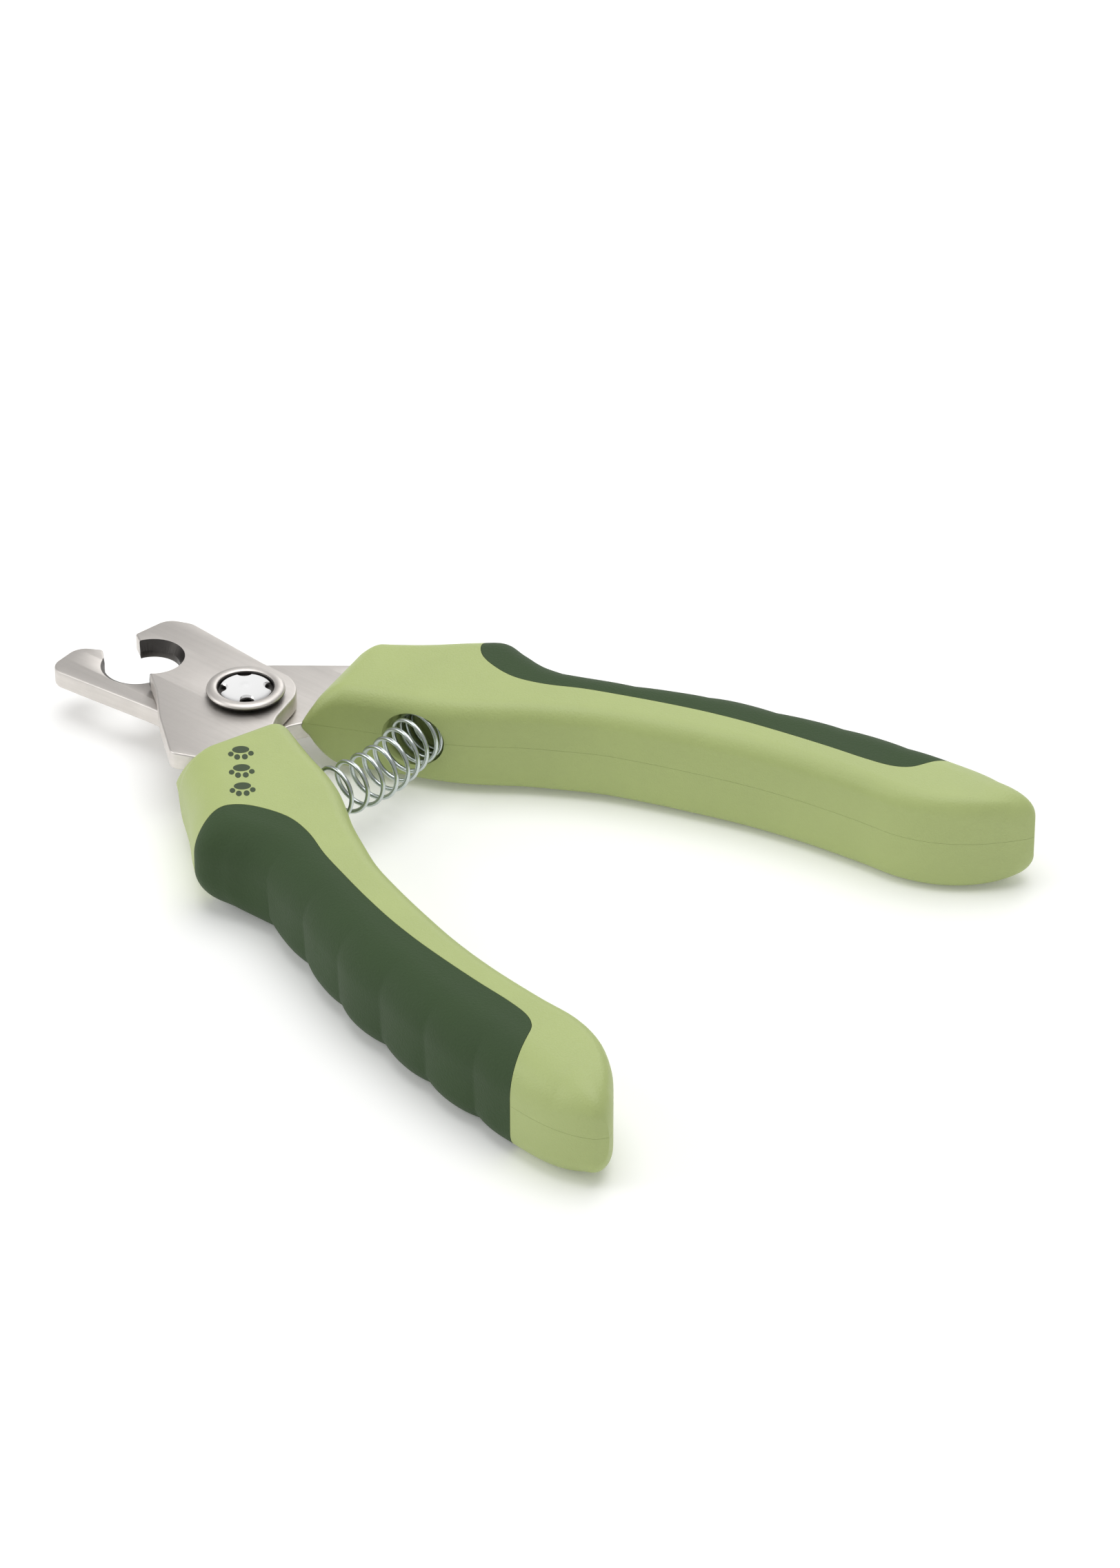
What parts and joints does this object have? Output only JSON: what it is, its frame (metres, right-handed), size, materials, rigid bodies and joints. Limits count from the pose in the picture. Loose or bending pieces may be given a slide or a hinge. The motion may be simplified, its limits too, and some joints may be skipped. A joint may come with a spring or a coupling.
{
  "type": "scissor nail clipper",
  "caption": "Scissor-type pet nail clipper with notched steel blades, two-tone green handles and a return spring.",
  "frame": {"origin": "centre of the flat outer face of the pivot nut, on the table that the closed stack lies on", "axes": "+Z along the pivot axis, from the nut to the screw head; +X from the jaws towards the handles, halfway between them; +Y towards the handle that carries the lower blade"},
  "size_m": [0.1414, 0.103, 0.0156],
  "materials": {
    "satin_steel": "satin",
    "light_green_plastic": "fine moulded satin",
    "dark_green_rubber": "matte soft-touch"
  },
  "bodies": {
    "near_half": {"upper_blade": "satin_steel", "near_top_shell": "light_green_plastic", "near_bottom_shell": "light_green_plastic", "near_grip": "dark_green_rubber", "near_front_tang_pin": "satin_steel", "near_rear_tang_pin": "satin_steel", "pivot_screw": "satin_steel", "pivot_cup_washer": "satin_steel", "pivot_nut": "satin_steel", "back_washer": "satin_steel", "return_spring": "satin_steel"},
    "far_half": {"lower_blade": "satin_steel", "far_top_shell": "light_green_plastic", "far_bottom_shell": "light_green_plastic", "far_grip": "dark_green_rubber", "far_front_tang_pin": "satin_steel", "far_rear_tang_pin": "satin_steel"}
  },
  "joints": [
    {"name": "jaw_close", "type": "hinge", "parent": "near_half", "child": "far_half", "pos_m": [0, 0, 0.0084], "axis": [0, 0, -1], "range_deg": [0, 34], "stiffness_Nm_per_rad": 0.5, "springref_deg": -8.59, "deforming": ["return_spring"]}
  ]
}
